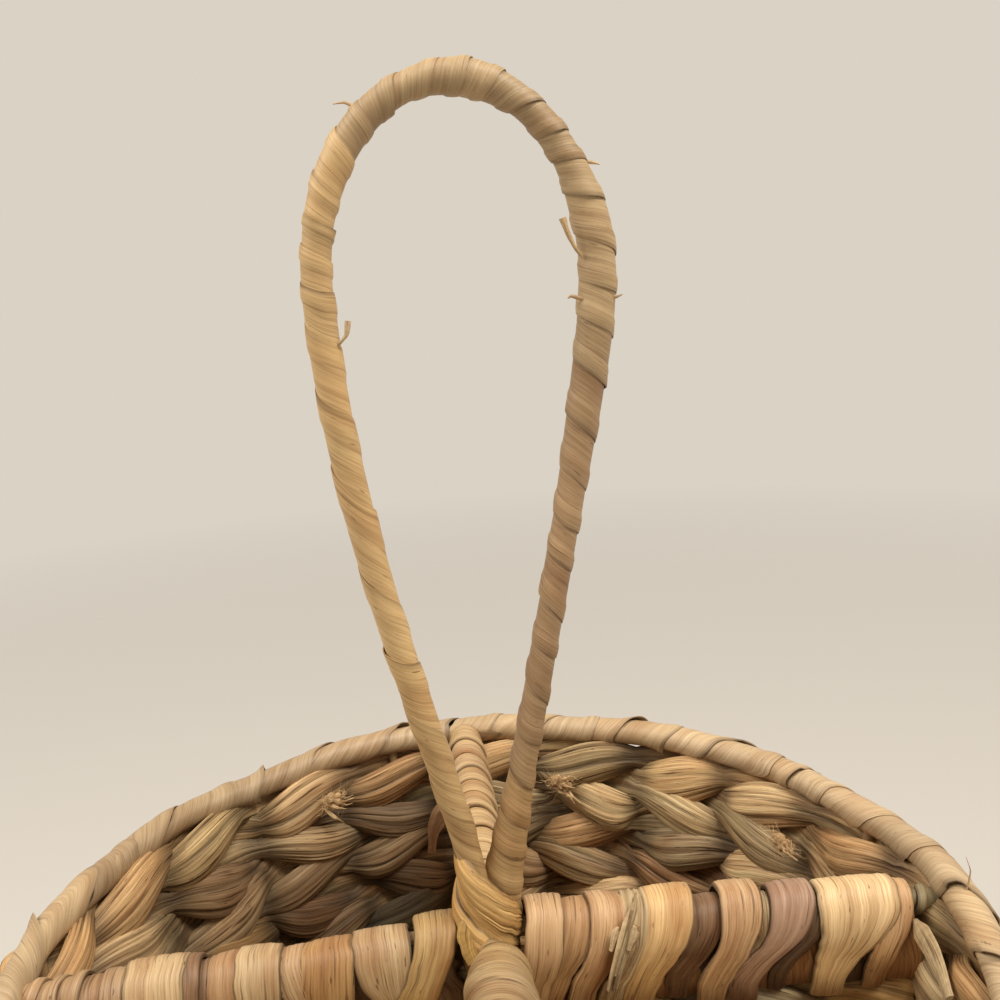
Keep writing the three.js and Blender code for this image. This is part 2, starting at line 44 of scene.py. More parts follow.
# Sizes in metres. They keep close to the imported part, but the loop leans 0.6 mm further to the right and
# the front roll starts 6 mm nearer the middle, as the photograph shows
RIM_RADIUS = 100 * MM
RIM_HEIGHT = 130 * MM
RIM_ROLL = 3.5 * MM  # radius over the rim's strip, where its turns don't overlap
STAKES = 21
STAKE_WIRE = 1.25 * MM  # radius of a stake
STAKE_FOOT = (89 * MM, 5.3 * MM)  # distance from the middle, and height
STAKE_TOP = (100 * MM, 127.7 * MM)
ROWS = 11
ROWS_BOTTOM = 9.3 * MM
ROWS_TOP = 124.7 * MM
STRAND_REACH = 4.4 * MM  # how far a strand passes inside or outside the stakes
STRAND_CLIMB = 2.8 * MM  # how far it rises or falls between two stakes
BASE_TOP = 9 * MM
BASE_MIDDLE = 4.6 * MM  # height at which the base mat's stems cross
BORDER_RADIUS = 90.3 * MM  # twisted border round the base mat
RAIL_CROWN = 2 * MM  # rails above the rim's centreline, in the middle
RAIL_DROP = 3.5 * MM  # rails below it, at the rim
RAIL_END = 97.5 * MM
ROLL_START = 8.5 * MM  # where the back roll starts, from the middle
FRONT_START = 9.5 * MM
BACK_END = 96 * MM
FRONT_END = 92 * MM
ROLL_TOP = 7.5 * MM  # top of the front and back rolls above their rails
RIGHT_TOP = 6.5 * MM
LEFT_TOP = 4.5 * MM
SIDE_ROLL = (8 * MM, 14.5 * MM)  # half width and half height of a roll
FRONT_ROLL = (7.2 * MM, 8 * MM)
BACK_ROLL = (5.5 * MM, 6.5 * MM)
TIE_START = 84 * MM  # the ties between the rolls and the rim, from the middle
TIE_END = 97 * MM
PANEL_OVERLAP = 5 * MM  # how far a panel reaches up into its roll
LEG_X = 2 * MM  # distance of a leg from the middle, at its foot
LEG_LAP = 1.4 * MM  # how far the left leg lies to the front there, and the right one to the back
LEG_LAP_HEIGHT = 40 * MM  # height over which that fades out
LOOP_HALF_WIDTH = 25.6 * MM
LOOP_OFFSET = 3 * MM
SHOULDER_HEIGHT = 136 * MM
LOOP_RISE = 34.8 * MM
LOOP_SPREAD = 0.04  # where the legs start to spread, as a share of the shoulder's height
LEG_PULLS = ((0.21, 0.6), (0.11, 0.86))  # what the left and the right leg bend towards, as such shares

# How finely pieces are drawn
LOBE_STEPS = 14
STEM_SIDES = 96
STEM_WAVES = ((3, 0.1), (6, 0.15), (11, 0.1), (17, 0.07), (31, 0.05))  # number and depth of creases
STEM_SKIN = 34 * MM  # how much of the texture goes round a stem
TURN_STEPS = 36
STRIP_POINTS = 13
LOOP_STEPS = 160
SHARP_ANGLE = math.radians(55)  # edges sharper than this aren't shaded smooth

LEAN = math.atan2(STAKE_TOP[0] - STAKE_FOOT[0], STAKE_TOP[1] - STAKE_FOOT[1])
ROW_PITCH = (ROWS_TOP - ROWS_BOTTOM) / ROWS
UP = np.array([0.0, 0, 1])


def colour(red, green, blue):
    """Linear colour of an sRGB triple from 0 to 255."""
    share = np.array([red, green, blue]) / 255
    return np.where(share <= 0.04045, share / 12.92, ((share + 0.055) / 1.055) ** 2.4)


STRAW = colour(214, 184, 138)
GOLD = colour(208, 172, 112)
PALE = colour(228, 202, 160)
TAN = colour(198, 164, 122)
ORANGE = colour(194, 146, 96)
BROWN = colour(150, 118, 86)
MAUVE = colour(160, 130, 106)
GREEN = colour(168, 156, 122)
PITH = colour(206, 182, 140)
DARK = colour(98, 76, 54)
OLIVE = colour(158, 144, 108)
REED = colour(216, 194, 146)
HUSK = colour(206, 180, 142)


def stake_radius(z):
    """Radius of the stake line at a height."""
    return STAKE_FOOT[0] + (z - STAKE_FOOT[1]) * math.tan(LEAN)


def rail_height(x):
    """Height of a divider rail at a distance from the middle."""
    return RIM_HEIGHT + RAIL_CROWN - x * (RAIL_CROWN + RAIL_DROP) / RIM_RADIUS


def ease(low, high, value):
    """Smooth step from 0 at low to 1 at high."""
    part = np.clip((value - low) / (high - low), 0, 1)
    return part * part * (3 - 2 * part)


def drift(count, knots, draw, closed=False):
    """A smooth random run between -1 and 1."""
    values = draw.uniform(-1, 1, knots + 1)
    if closed:
        values[-1] = values[0]
    place = np.linspace(0, knots, count, endpoint=not closed)
    low = np.minimum(place.astype(int), knots - 1)
    part = ease(0, 1, place - low)
    return values[low] * (1 - part) + values[low + 1] * part


def between(values, place):
    """Values given at whole numbers, eased between them; the list wraps round."""
    low = np.floor(place).astype(int)
    part = ease(0, 1, place - low)
    if values.ndim > 1:
        part = part[:, None]
    return values[low % len(values)] * (1 - part) + values[(low + 1) % len(values)] * part


def lengths(points):
    """Distance along a row of points, from the first."""
    steps = np.linalg.norm(np.diff(points, axis=0), axis=1)
    return np.concatenate([[0], np.cumsum(steps)])


def jittered(start, end, count, spread, draw):
    """Places from start to end whose spacing varies."""
    steps = draw.uniform(1 - spread, 1 + spread, count)
    return start + np.concatenate([[0], np.cumsum(steps) / steps.sum()]) * (end - start)


class Weave:
    """Gathers skinned strands and strips, then makes one mesh of them."""

    def __init__(self):
        self.points = []
        self.tints = []
        self.faces = []
        self.marks = []
        self.count = 0

    def add(self, rings, tints, along, around, closed=False):
        """Skins rings of points; along and around are the marks for the texture, in metres."""
        rows, size = rings.shape[:2]
        points = rings.reshape(-1, 3)
        index = np.arange(rows * size).reshape(rows, size)
        if closed:
            index = np.vstack([index, index[:1]])
        grid = np.hstack([index, index[:, :1]])
        near, far = slice(None, -1), slice(1, None)
        corners = [(near, near), (near, far), (far, far), (far, near)]
        quads = np.stack([grid[c] for c in corners], axis=-1).reshape(-1, 4)
        mark = np.stack(np.meshgrid(along, around, indexing="ij"), axis=-1)
        marks = np.stack([mark[c] for c in corners], axis=-2).reshape(-1, 4, 2)
        a, b, c, d = (points[quads[:, k]] for k in range(4))
        volume = np.sum(a * np.cross(b, c)) + np.sum(a * np.cross(c, d))
        faces = [quads]
        flat = [marks]
        if not closed:
            for ring, row in ((index[0][::-1], 0), (index[-1], rows - 1)):
                hub = len(points)
                points = np.vstack([points, rings[row].mean(axis=0)])
                tints = np.vstack([tints, tints[row * size]])
                faces.append(np.stack([np.full(size, hub), ring, np.roll(ring, -1)], axis=-1))
                flat.append(np.broadcast_to(mark[row, 0], (size, 3, 2)))
        if volume < 0:
            faces = [group[:, ::-1] for group in faces]
            flat = [group[:, ::-1] for group in flat]
        for group, place in zip(faces, flat):
            self.faces += (group + self.count).tolist()
            self.marks.append(place.reshape(-1, 2))
        self.points.append(points)
        self.tints.append(tints)
        self.count += len(points)

    def build(self, name, material, nodes=()):
        """One object from all that was gathered, riding on the part's only body."""
        mesh = bpy.data.meshes.new(name)
        mesh.from_pydata(np.vstack(self.points).tolist(), [], self.faces)
        layer = mesh.uv_layers.new(name="strip")
        layer.data.foreach_set("uv", np.vstack(self.marks).astype(np.float32).ravel())
        tint = mesh.attributes.new("tint", "FLOAT_COLOR", "POINT")
        four = np.ones((self.count, 4), dtype=np.float32)
        four[:, :3] = np.clip(np.vstack(self.tints), 0.004, 1)
        tint.data.foreach_set("color", four.ravel())
        mesh.polygons.foreach_set("use_smooth", [True] * len(mesh.polygons))
        mesh.set_sharp_from_angle(angle=SHARP_ANGLE)
        mesh.materials.append(material)
        obj = bpy.data.objects.new(name, mesh)
        bpy.context.scene.collection.objects.link(obj)
        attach(obj, "root")
        if nodes:
            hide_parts(*nodes)
        return obj


# Cores that strips are wound on: each gives points and two square directions along itself


class Line:
    """A straight rail."""

    def __init__(self, start, end):
        self.start = np.array(start)
        span = np.array(end) - self.start
        self.length = np.linalg.norm(span)
        self.way = span / self.length
        self.side = np.cross(UP if abs(self.way[2]) < 0.9 else (0, 1, 0), self.way)
        self.side /= np.linalg.norm(self.side)
        self.rise = np.cross(self.way, self.side)

    def at(self, u):
        """Points and directions at distances along the rail."""
        spot = self.start + np.clip(u, 0, self.length)[..., None] * self.way
        return spot, np.broadcast_to(self.side, spot.shape), np.broadcast_to(self.rise, spot.shape)


class Ring:
    """The rim, from the back round by the left, not quite round and not quite level."""

    def __init__(self, radius, height):
        self.radius = radius
        self.height = height
        self.length = 2 * math.pi * radius

    def at(self, u):
        """Points and directions at distances round the rim."""
        angle = math.pi / 2 + u / self.radius
        out = np.stack([np.cos(angle), np.sin(angle), np.zeros_like(angle)], axis=-1)
        bend = 0.5 * MM * np.sin(5 * angle + 1) + 0.3 * MM * np.sin(11 * angle)
        wave = 0.4 * MM * np.sin(7 * angle + 2) + 0.3 * MM * np.sin(13 * angle + 1)
        spot = out * (self.radius + bend)[..., None] + UP * (self.height + wave)[..., None]
        return spot, -out, np.broadcast_to(UP, spot.shape)


class Drop:
    """The handle's loop, from the foot of its left leg over the top to the foot of its right one."""

    def __init__(self, low):
        spread = RIM_HEIGHT + LOOP_SPREAD * SHOULDER_HEIGHT
        shoulder = RIM_HEIGHT + SHOULDER_HEIGHT
        t = np.linspace(0, 1, LOOP_STEPS)[:, None]
        halves = []
        for side, shares in zip((-1, 1), LEG_PULLS):
            wide = LOOP_OFFSET + side * LOOP_HALF_WIDTH
            pulls = [RIM_HEIGHT + share * SHOULDER_HEIGHT for share in shares]
            knots = [np.array(knot) for knot in ((side * LEG_X, spread), (side * LEG_X, pulls[0]),
                                                 (wide, pulls[1]), (wide, shoulder))]
            leg = ((1 - t) ** 3 * knots[0] + 3 * (1 - t) ** 2 * t * knots[1]
                   + 3 * (1 - t) * t ** 2 * knots[2] + t ** 3 * knots[3])
            halves.append(np.vstack([[[side * LEG_X, low]], leg]))
        bow = np.linspace(math.pi, 0, LOOP_STEPS)[1:-1]
        arch = np.stack([LOOP_OFFSET + LOOP_HALF_WIDTH * np.cos(bow), shoulder + LOOP_RISE * np.sin(bow)],
                        axis=-1)
        flat = np.vstack([halves[0], arch, halves[1][::-1]])
        left = np.where(np.arange(len(flat)) < len(flat) / 2, 1, -1)
        lap = -LEG_LAP * left * (1 - ease(low, low + LEG_LAP_HEIGHT, flat[:, 1]))
        self.points = np.stack([flat[:, 0], lap, flat[:, 1]], axis=-1)
        self.marks = lengths(self.points)
        self.length = self.marks[-1]
        ways = np.gradient(self.points, self.marks, axis=0)
        self.ways = ways / np.linalg.norm(ways, axis=1)[:, None]

    def at(self, u):
        """Points and directions at distances along the loop."""
        def pick(table):
            return np.stack([np.interp(u, self.marks, table[:, k]) for k in range(3)], axis=-1)
        way = pick(self.ways)
        side = np.cross(np.array([0.0, 1, 0]), way)
        side /= np.linalg.norm(side, axis=-1)[..., None]
        return pick(self.points), side, np.cross(way, side)


# Strands and strips


def creased(count, angle, waves, draw, closed, wander=1.0):
    """Depth of lengthwise creases: waves are pairs of how many there are and how deep they go."""
    depth = np.zeros((count, len(angle)))
    knots = max(3, count // 14)
    for number, weight in waves:
        swing = draw.uniform(0, 6) + wander * drift(count, knots, draw, closed)
        strength = weight * (0.75 + 0.5 * drift(count, knots, draw, closed))
        wave = np.abs(np.sin(0.5 * number * angle[None, :] + swing[:, None]))
        depth += strength[:, None] * (1 - wave ** 0.5)
    return depth


def stem(weave, centre, side, up, half_side, half_up, tint, seed, closed, sides=STEM_SIDES):
    """A dried stem: an oval tube with lengthwise creases that drift. Painted shade darkens the creases and
    painted highlight lightens the ridges.
    """
    draw = np.random.default_rng(seed)
    angle = 2 * math.pi * np.arange(sides) / sides
    depth = creased(len(centre), angle, STEM_WAVES, draw, closed)
    shape = 1 - depth
    rings = (centre[:, None, :]
             + side[:, None, :] * (half_side[:, None] * np.cos(angle) * shape)[..., None]
             + up[:, None, :] * (half_up[:, None] * np.sin(angle) * shape)[..., None])
    # Painted shade in the creases and painted highlight on the ridges: the tint runs from 1.55 times on a
    # ridge down with the crease's depth
    tints = (tint[:, None, :] * (1.55 - 4.2 * depth)[..., None]).reshape(-1, 3)
    run = lengths(np.vstack([centre, centre[:1]]) if closed else centre) + draw.uniform(0, 5)
    weave.add(rings, tints, run, np.linspace(0, STEM_SKIN, sides + 1), closed)


def wound(weave, core, stops, girth, thickness, tints, seed, overlap=0.3, oval=1.0, start=0.0,
          dome=0.12 * MM, ragged=0.06, fold=0.1 * MM, curl=0.3 * MM, raised=-1, closed=False):
    """One strip wound left-handed along a core. Stops are the places where each turn begins, girth is
    how thick the roll is at shares of the core, and raised is the edge that lies over the next turn. Ragged,
    fold and curl are how much its edges wander, how deep its creases are and how far its edge lifts."""
    draw = np.random.default_rng(seed)
    turns = len(stops) - 1
    count = turns * TURN_STEPS + (0 if closed else 1)
    turn = np.arange(count) / TURN_STEPS
    place = np.interp(turn, np.arange(turns + 1), stops)
    pitch = np.interp(turn, np.arange(turns) + 0.5, np.diff(stops))
    broad = pitch * (1 + overlap)
    across = np.linspace(-0.5, 0.5, STRIP_POINTS)
    rear, front = (ragged * broad * drift(count, 5 * turns, draw, closed) for _ in range(2))
    edge = rear[:, None] * (0.5 - across) + front[:, None] * (0.5 + across)
    u = place[:, None] + across * broad[:, None] + edge
    over = across * -raised
    stand = between(draw.uniform(0.2, 1.5, 2 * turns) ** 2, 2 * turn)[:, None]
    lap = overlap / (1 + overlap) - 0.5
    lift = 1.05 * thickness * (1 - ease(lap, lap + 0.15, over))
    kinks = np.clip(2 * drift(count, 6 * turns, draw, closed) - 0.7, 0, 1)[:, None]
    ribs = creased(count, 6.3 * across, ((7, 1), (15, 0.6)), draw, closed, 0.5)
    ribs = fold * np.clip(ribs, 0, 2) * ease(lap - 0.1, lap + 0.15, over)
    height = np.interp(u / core.length, *girth, period=1 if closed else None) + lift - ribs
    height = height + dome * np.cos(math.pi * across) + curl * kinks * ease(-0.34, -0.5, over)
    height = height + 0.25 * thickness * drift(count, 4 * turns, draw, closed)[:, None]
    top = height.copy()
    top[:, [0, -1]] -= 0.3 * thickness
    # The underside goes back across the strip with fewer points
    below = [STRIP_POINTS - 1, 2 * STRIP_POINTS // 3, STRIP_POINTS // 3, 0]
    radii = np.hstack([top, height[:, below] - thickness])
    centre, side, rise = core.at(np.hstack([u, u[:, below]]))
    angle = (start - 2 * math.pi * turn)[:, None, None]
    rings = centre + radii[..., None] * (np.cos(angle) * side + oval * np.sin(angle) * rise)
    shade = between(np.asarray(tints), turn * len(tints) / turns)
    # Painted shade along the strip's edges, deeper on the rear edge, and in its creases
    dark = 1 - 0.3 * stand * ease(0.4, 0.5, np.abs(across)) * np.where(over < 0, 1, 0.6) - 0.6 / MM * ribs
    # Painted shade on the strip's underside
    underside = np.full((count, len(below)), 0.45)
    dark = np.hstack([dark, underside])
    middle = rings[:, STRIP_POINTS // 2]
    run = lengths(np.vstack([middle, middle[:1]]) if closed else middle) + draw.uniform(0, 5)
    marks = np.hstack([across, across[below], across[:1]]) * float(np.mean(broad))
    weave.add(rings, (shade[:, None, :] * dark[..., None]).reshape(-1, 3), run, marks, closed)


def even(radius, lumps=2, spread=0.0, seed=0):
    """The girth of a roll that is equally thick all along, apart from its lumps."""
    draw = np.random.default_rng(seed)
    return np.linspace(0, 1, lumps, endpoint=False), radius * draw.uniform(1 - spread, 1 + spread, lumps)


def lay(weave, core, ways, semi, strip, seed, dome=0.35 * MM, box=2.4, steady=False, crease=0.15 * MM):
    """A broad strip laid crosswise over a core: ways are its directions towards the front and the crown,
    semi the half width and half height of the roll. A strip is its place and width in millimetres, how far
    it slants, its level over the roll, the share of its width that it loses below, and its tint. A steady
    strip slants evenly all the way, and box is how square the roll is, from 2 for an oval one."""
    place, width, slant, level, gather, tint = strip
    draw = np.random.default_rng(seed)
    count, points, reach, thickness = 56, 25, 2.7, 0.9 * MM
    turn = np.linspace(-reach, reach, count)
    across = np.linspace(-0.5, 0.5, points)
    narrow = 1 - gather * ease(0.3, 2.5, np.abs(turn))
    spread = width * MM * narrow * (1 + 0.05 * drift(count, 7, draw))
    slide = turn / 2.5 if steady else np.sign(turn) * ease(0.1, 2.5, np.abs(turn))
    shift = slant * MM * slide + 0.5 * MM * drift(count, 3, draw)
    rear, fore = (0.4 * MM * (drift(count, 9, draw) + 0.6 * drift(count, 27, draw))[:, None]
                  for _ in range(2))
    u = place * MM + shift[:, None] + across * spread[:, None]
    u = u + rear * (0.5 - across) + fore * (0.5 + across)
    depth = creased(count, 6.3 * across, ((5, 0.5), (11, 0.5), (21, 0.35)), draw, False, 0.5)
    crown = dome * (1 - (2 * np.abs(across)) ** 2.4)
    tall, deep = np.abs(np.cos(turn)) / semi[1], np.abs(np.sin(turn)) / semi[0]
    oval = (tall ** box + deep ** box) ** (-1 / box)
    tip = 0.7 * MM * draw.uniform(-1, 1) * across
    height = oval[:, None] + level * MM + crown + tip - crease * depth
    height = height + 0.4 * MM * drift(count, 5, draw)[:, None]
    top = height.copy()
    top[:, [0, -1]] -= 0.35 * thickness
    # The underside goes back across the strip with fewer points
    below = [points - 1, 2 * points // 3, points // 3, 0]
    radii = np.hstack([top, height[:, below] - thickness])
    centre = core.at(np.hstack([u, u[:, below]]))[0]
    front, crest = (np.asarray(way) for way in ways)
    swing = turn[:, None, None]
    rings = centre + radii[..., None] * (np.sin(swing) * front + np.cos(swing) * crest)
    # Painted shade along the strip's edges, in its creases and on its underside
    dark = (1.03 - 0.1 * depth) * (1 - 0.6 * ease(0.44, 0.5, np.abs(across)))
    underside = np.full((count, len(below)), 0.4)
    dark = np.hstack([dark, underside])
    # Darker and more golden away from the crown, down the sides of the roll
    crown_to_sides = 1 - ease(0.4, 1.7, np.abs(turn))[:, None] * np.array([0.08, 0.17, 0.33])
    run = lengths(rings[:, points // 2]) + draw.uniform(0, 5)
    marks = np.hstack([across, across[below], across[:1]]) * width * MM
    weave.add(rings, (np.asarray(tint) * crown_to_sides[:, None, :] * dark[..., None]).reshape(-1, 3), run, marks)


def blade(weave, points, normal, width, tint, seed, thickness=0.3 * MM, point=0.15):
    """A loose leaf end or fibre: a thin ribbon through a few points in millimetres. Point is the share of
    its width that is left at its tip."""
    draw = np.random.default_rng(seed)
    knots = np.array(points) * MM
    share = np.linspace(0, len(knots) - 1, 6 * len(knots))
    path = np.stack([np.interp(share, np.arange(len(knots)), knots[:, k]) for k in range(3)], axis=-1)
    for _ in range(3):
        path[1:-1] = (path[:-2] + 2 * path[1:-1] + path[2:]) / 4
    way = np.gradient(path, axis=0)
    side = np.cross(way, np.asarray(normal, dtype=float))
    side /= np.linalg.norm(side, axis=1)[:, None]
    face = np.cross(side, way)
    face /= np.linalg.norm(face, axis=1)[:, None]
    part = np.linspace(0, 1, len(path))
    half = width / 2 * (1 - (1 - point) * ease(0.35, 1, part)) * (1 + 0.1 * drift(len(path), 5, draw))
    half = half * (0.35 + 0.65 * ease(0, 0.22, part))
    across = np.array([-1, -0.5, 0, 0.5, 1, 0.5, 0, -0.5])
    lift = np.array([0, 0.5, 0.7, 0.5, 0, -0.4, -0.5, -0.4]) * thickness
    rings = (path[:, None, :] + side[:, None, :] * (half[:, None] * across)[..., None]
             + face[:, None, :] * np.broadcast_to(lift, (len(path), len(lift)))[..., None])
    count = len(path) * len(lift)
    tints = np.broadcast_to(tint, (count, 3)) * draw.uniform(0.8, 1.1, (count, 1))
    weave.add(rings, tints, lengths(path) + draw.uniform(0, 5), np.linspace(0, 2 * width, len(lift) + 1))


# Materials


def noise(tree, mark, stretch, detail, rough):
    """Noise stretched along the strip: stretch is repeats per metre along it and across it."""
    scale = tree.nodes.new("ShaderNodeMapping")
    scale.inputs["Scale"].default_value = (stretch[0], stretch[1], 1)
    tree.links.new(mark.outputs["UV"], scale.inputs["Vector"])
    made = tree.nodes.new("ShaderNodeTexNoise")
    made.inputs["Scale"].default_value = 1
    made.inputs["Detail"].default_value = detail
    made.inputs["Roughness"].default_value = rough
    tree.links.new(scale.outputs["Vector"], made.inputs["Vector"])
    return made.outputs["Fac"]


def ranged(tree, value, low, high, to_low, to_high):
    """A value carried over from one range to another."""
    made = tree.nodes.new("ShaderNodeMapRange")
    for name, number in (("From Min", low), ("From Max", high), ("To Min", to_low), ("To Max", to_high)):
        made.inputs[name].default_value = number
    tree.links.new(value, made.inputs["Value"])
    return made.outputs["Result"]


def blended(tree, kind, factor, first, second):
    """Two colours mixed; each of the three may be a socket or a plain value."""
    made = tree.nodes.new("ShaderNodeMix")
    made.data_type = "RGBA"
    made.blend_type = kind
    for socket, value in ((made.inputs[0], factor), (made.inputs[6], first), (made.inputs[7], second)):
        if isinstance(value, bpy.types.NodeSocket):
            tree.links.new(value, socket)
        else:
            socket.default_value = value
    return made.outputs[2]


def fibre(name, roughness, streaks, cracks, blotch, specks, bump):
    """Dried leaf or stem: the piece's own tint with streaks, cracks, blotches and dark specks along it."""
    material = bpy.data.materials.new(name)
    material.use_nodes = True
    tree = material.node_tree
    shader = tree.nodes["Principled BSDF"]
    shader.inputs["Roughness"].default_value = roughness
    shader.inputs["Specular IOR Level"].default_value = 0.4
    mark = tree.nodes.new("ShaderNodeUVMap")
    mark.uv_map = "strip"
    tint = tree.nodes.new("ShaderNodeAttribute")
    tint.attribute_name = "tint"
    fine = noise(tree, mark, (50, 2600), 5, 0.75)
    broad = noise(tree, mark, (26, 650), 3, 0.6)
    lines = noise(tree, mark, (55, 1500), 2, 0.5)
    patch = noise(tree, mark, (30, 110), 3, 0.55)
    dots = noise(tree, mark, (260, 1900), 2, 0.5)
    base = tint.outputs["Color"]
    # Each mark is a noise, the range in which it fades and how strong it is at both ends, and its stain
    marks = [
        (fine, (0.36, 0.58, streaks, 0), (178, 150, 120)),
        (broad, (0.36, 0.58, 0.6 * streaks, 0), (178, 150, 120)),
        (lines, (0.33, 0.41, cracks, 0), (118, 92, 66)),
        (patch, (0.48, 0.7, 0, blotch), (188, 146, 104)),
        (dots, (0.68, 0.74, 0, specks), (124, 96, 70)),
    ]
    for value, limits, stain in marks:
        base = blended(tree, "MULTIPLY", ranged(tree, value, *limits), base, (*colour(*stain), 1))
    tree.links.new(base, shader.inputs["Base Color"])
    relief = tree.nodes.new("ShaderNodeBump")
    relief.inputs["Strength"].default_value = bump
    relief.inputs["Distance"].default_value = 0.25 * MM
    tree.links.new(fine, relief.inputs["Height"])
    tree.links.new(relief.outputs["Normal"], shader.inputs["Normal"])
    return material


def wire_material():
    """Drawn wire with a brown coat worn in places, for the frame inside."""
    material = bpy.data.materials.new("frame_wire")
    material.use_nodes = True
    tree = material.node_tree
    shader = tree.nodes["Principled BSDF"]
    shader.inputs["Metallic"].default_value = 0.1
    shader.inputs["Roughness"].default_value = 0.5
    place = tree.nodes.new("ShaderNodeTexCoord")
    grain = tree.nodes.new("ShaderNodeTexNoise")
    grain.inputs["Scale"].default_value = 180
    grain.inputs["Detail"].default_value = 4
    tree.links.new(place.outputs["Object"], grain.inputs["Vector"])
    worn = ranged(tree, grain.outputs["Fac"], 0.5, 0.7, 0, 0.7)
    base = blended(tree, "MIX", worn, (*colour(172, 138, 96), 1), (*colour(142, 112, 78), 1))
    tree.links.new(base, shader.inputs["Base Color"])
    return material


LEAF = fibre("leaf_strip", 0.44, 0.5, 0.32, 0.4, 0.7, 0.42)
BROAD_LEAF = fibre("broad_leaf", 0.5, 0.62, 0.62, 0.7, 0.9, 0.65)
STEM = fibre("dried_stem", 0.56, 0.8, 0.9, 0.6, 0.8, 0.7)
WIRE = wire_material()


# Wall


def wall_row(row):
    """One row of the wall: a strand that goes round twice and changes sides at every stake."""
    draw = np.random.default_rng(100 + row)
    lobes = 2 * STAKES
    steps = lobes * LOBE_STEPS
    lobe = np.arange(steps) / LOBE_STEPS
    slide = between(draw.uniform(-0.2, 0.2, lobes), lobe)
    angle = 4 * math.pi * (lobe + slide) / lobes
    outer, across = np.cos(math.pi * lobe), np.sin(math.pi * lobe)
    twist = 1 if row % 2 == 0 else -1
    below_top = ROWS - 1 - row
    z = ROWS_BOTTOM + ROW_PITCH * (row + 0.5)
    plump = between(draw.uniform(0.86, 1.2, lobes), lobe)
    deep = between(draw.uniform(0.88, 1.15, lobes), lobe)
    sag = between(draw.uniform(-1.6, 1.6, lobes), lobe) * MM
    left, back = -np.cos(angle), np.sin(angle)
    if below_top == 0:
        # On the left the top row lies close under the rim
        sag = 0.5 * sag + 1.2 * MM * ease(0.2, 0.6, left) + 1.6 * MM * ease(0.7, 0.95, left)
    out = np.stack([-left, back, np.zeros(steps)], axis=-1)
    side = out * math.cos(LEAN) - UP * math.sin(LEAN)
    up = out * math.sin(LEAN) + UP * math.cos(LEAN)
    centre = out * stake_radius(z) + UP * z
    centre = centre + side * (STRAND_REACH * outer * deep)[:, None]
    centre = centre + up * (twist * STRAND_CLIMB * across + sag)[:, None]
    bulge = np.abs(outer)
    half_side = (2.7 + 0.4 * bulge) * MM * deep
    half_up = (3.4 + 3.3 * bulge ** 0.85) * MM * plump
    palette = np.array([REED, STRAW, GOLD, OLIVE, REED, GREEN, TAN, BROWN, 0.5 * (ORANGE + BROWN)])
    # Each lap of the strand has a hue of its own, and each stretch between two stakes varies it
    own = palette[draw.integers(0, len(palette), 2)][np.arange(lobes) * 2 // lobes]
    chosen = palette[draw.integers(0, len(palette), lobes)]
    tints = (0.35 * own + 0.65 * chosen) * draw.uniform(0.6, 1.5, (lobes, 1))
    tints = between(np.minimum(tints, STRAW), lobe)
    # Painted shade where a strand passes between the stakes under its neighbours, and painted light on the
    # bulge of each lobe
    tints = tints * (0.48 + 0.66 * ease(0.1, 0.85, bulge))[:, None]
    # Painted shade: inside the wall, left of the middle of the back, the lower strands are darkened
    painted_inner_shade = min(0.7, 0.1 + 0.22 * below_top) * ease(-0.6, 0.2, -outer) * ease(-0.4, 0.2, back)
    painted_inner_shade = painted_inner_shade * ease(-0.05, 0.25, left) * (1 - 0.6 * ease(0.6, 0.85, left))
    weave = Weave()
    stem(weave, centre, side, up, half_side, half_up, tints * (1 - painted_inner_shade)[:, None], 200 + row, True)
    weave.build(f"wall_row_{row + 1}", STEM, [f"wall_row_{row + 1}"])


def stakes():
    """Smooth wire stakes from the base ring to the rim hoop."""
    weave = Weave()
    sides = 14
    length, skin = 0.12, 8 * MM
    ring = 2 * math.pi * np.arange(sides) / sides
    for i in range(STAKES):
        angle = 2 * math.pi * i / STAKES
        out = np.array([math.cos(angle), math.sin(angle), 0])
        over = np.array([-math.sin(angle), math.cos(angle), 0])
        round_it = STAKE_WIRE * (np.cos(ring)[:, None] * out + np.sin(ring)[:, None] * over)
        rings = np.array([out * radius + UP * z + round_it for radius, z in (STAKE_FOOT, STAKE_TOP)])
        tints = np.tile(TAN, (2 * sides, 1))
        weave.add(rings, tints, np.array([0, length]), np.linspace(0, skin, sides + 1))
    weave.build("wall_stakes", WIRE, [f"wall_stake_{i + 1:02d}" for i in range(STAKES)])


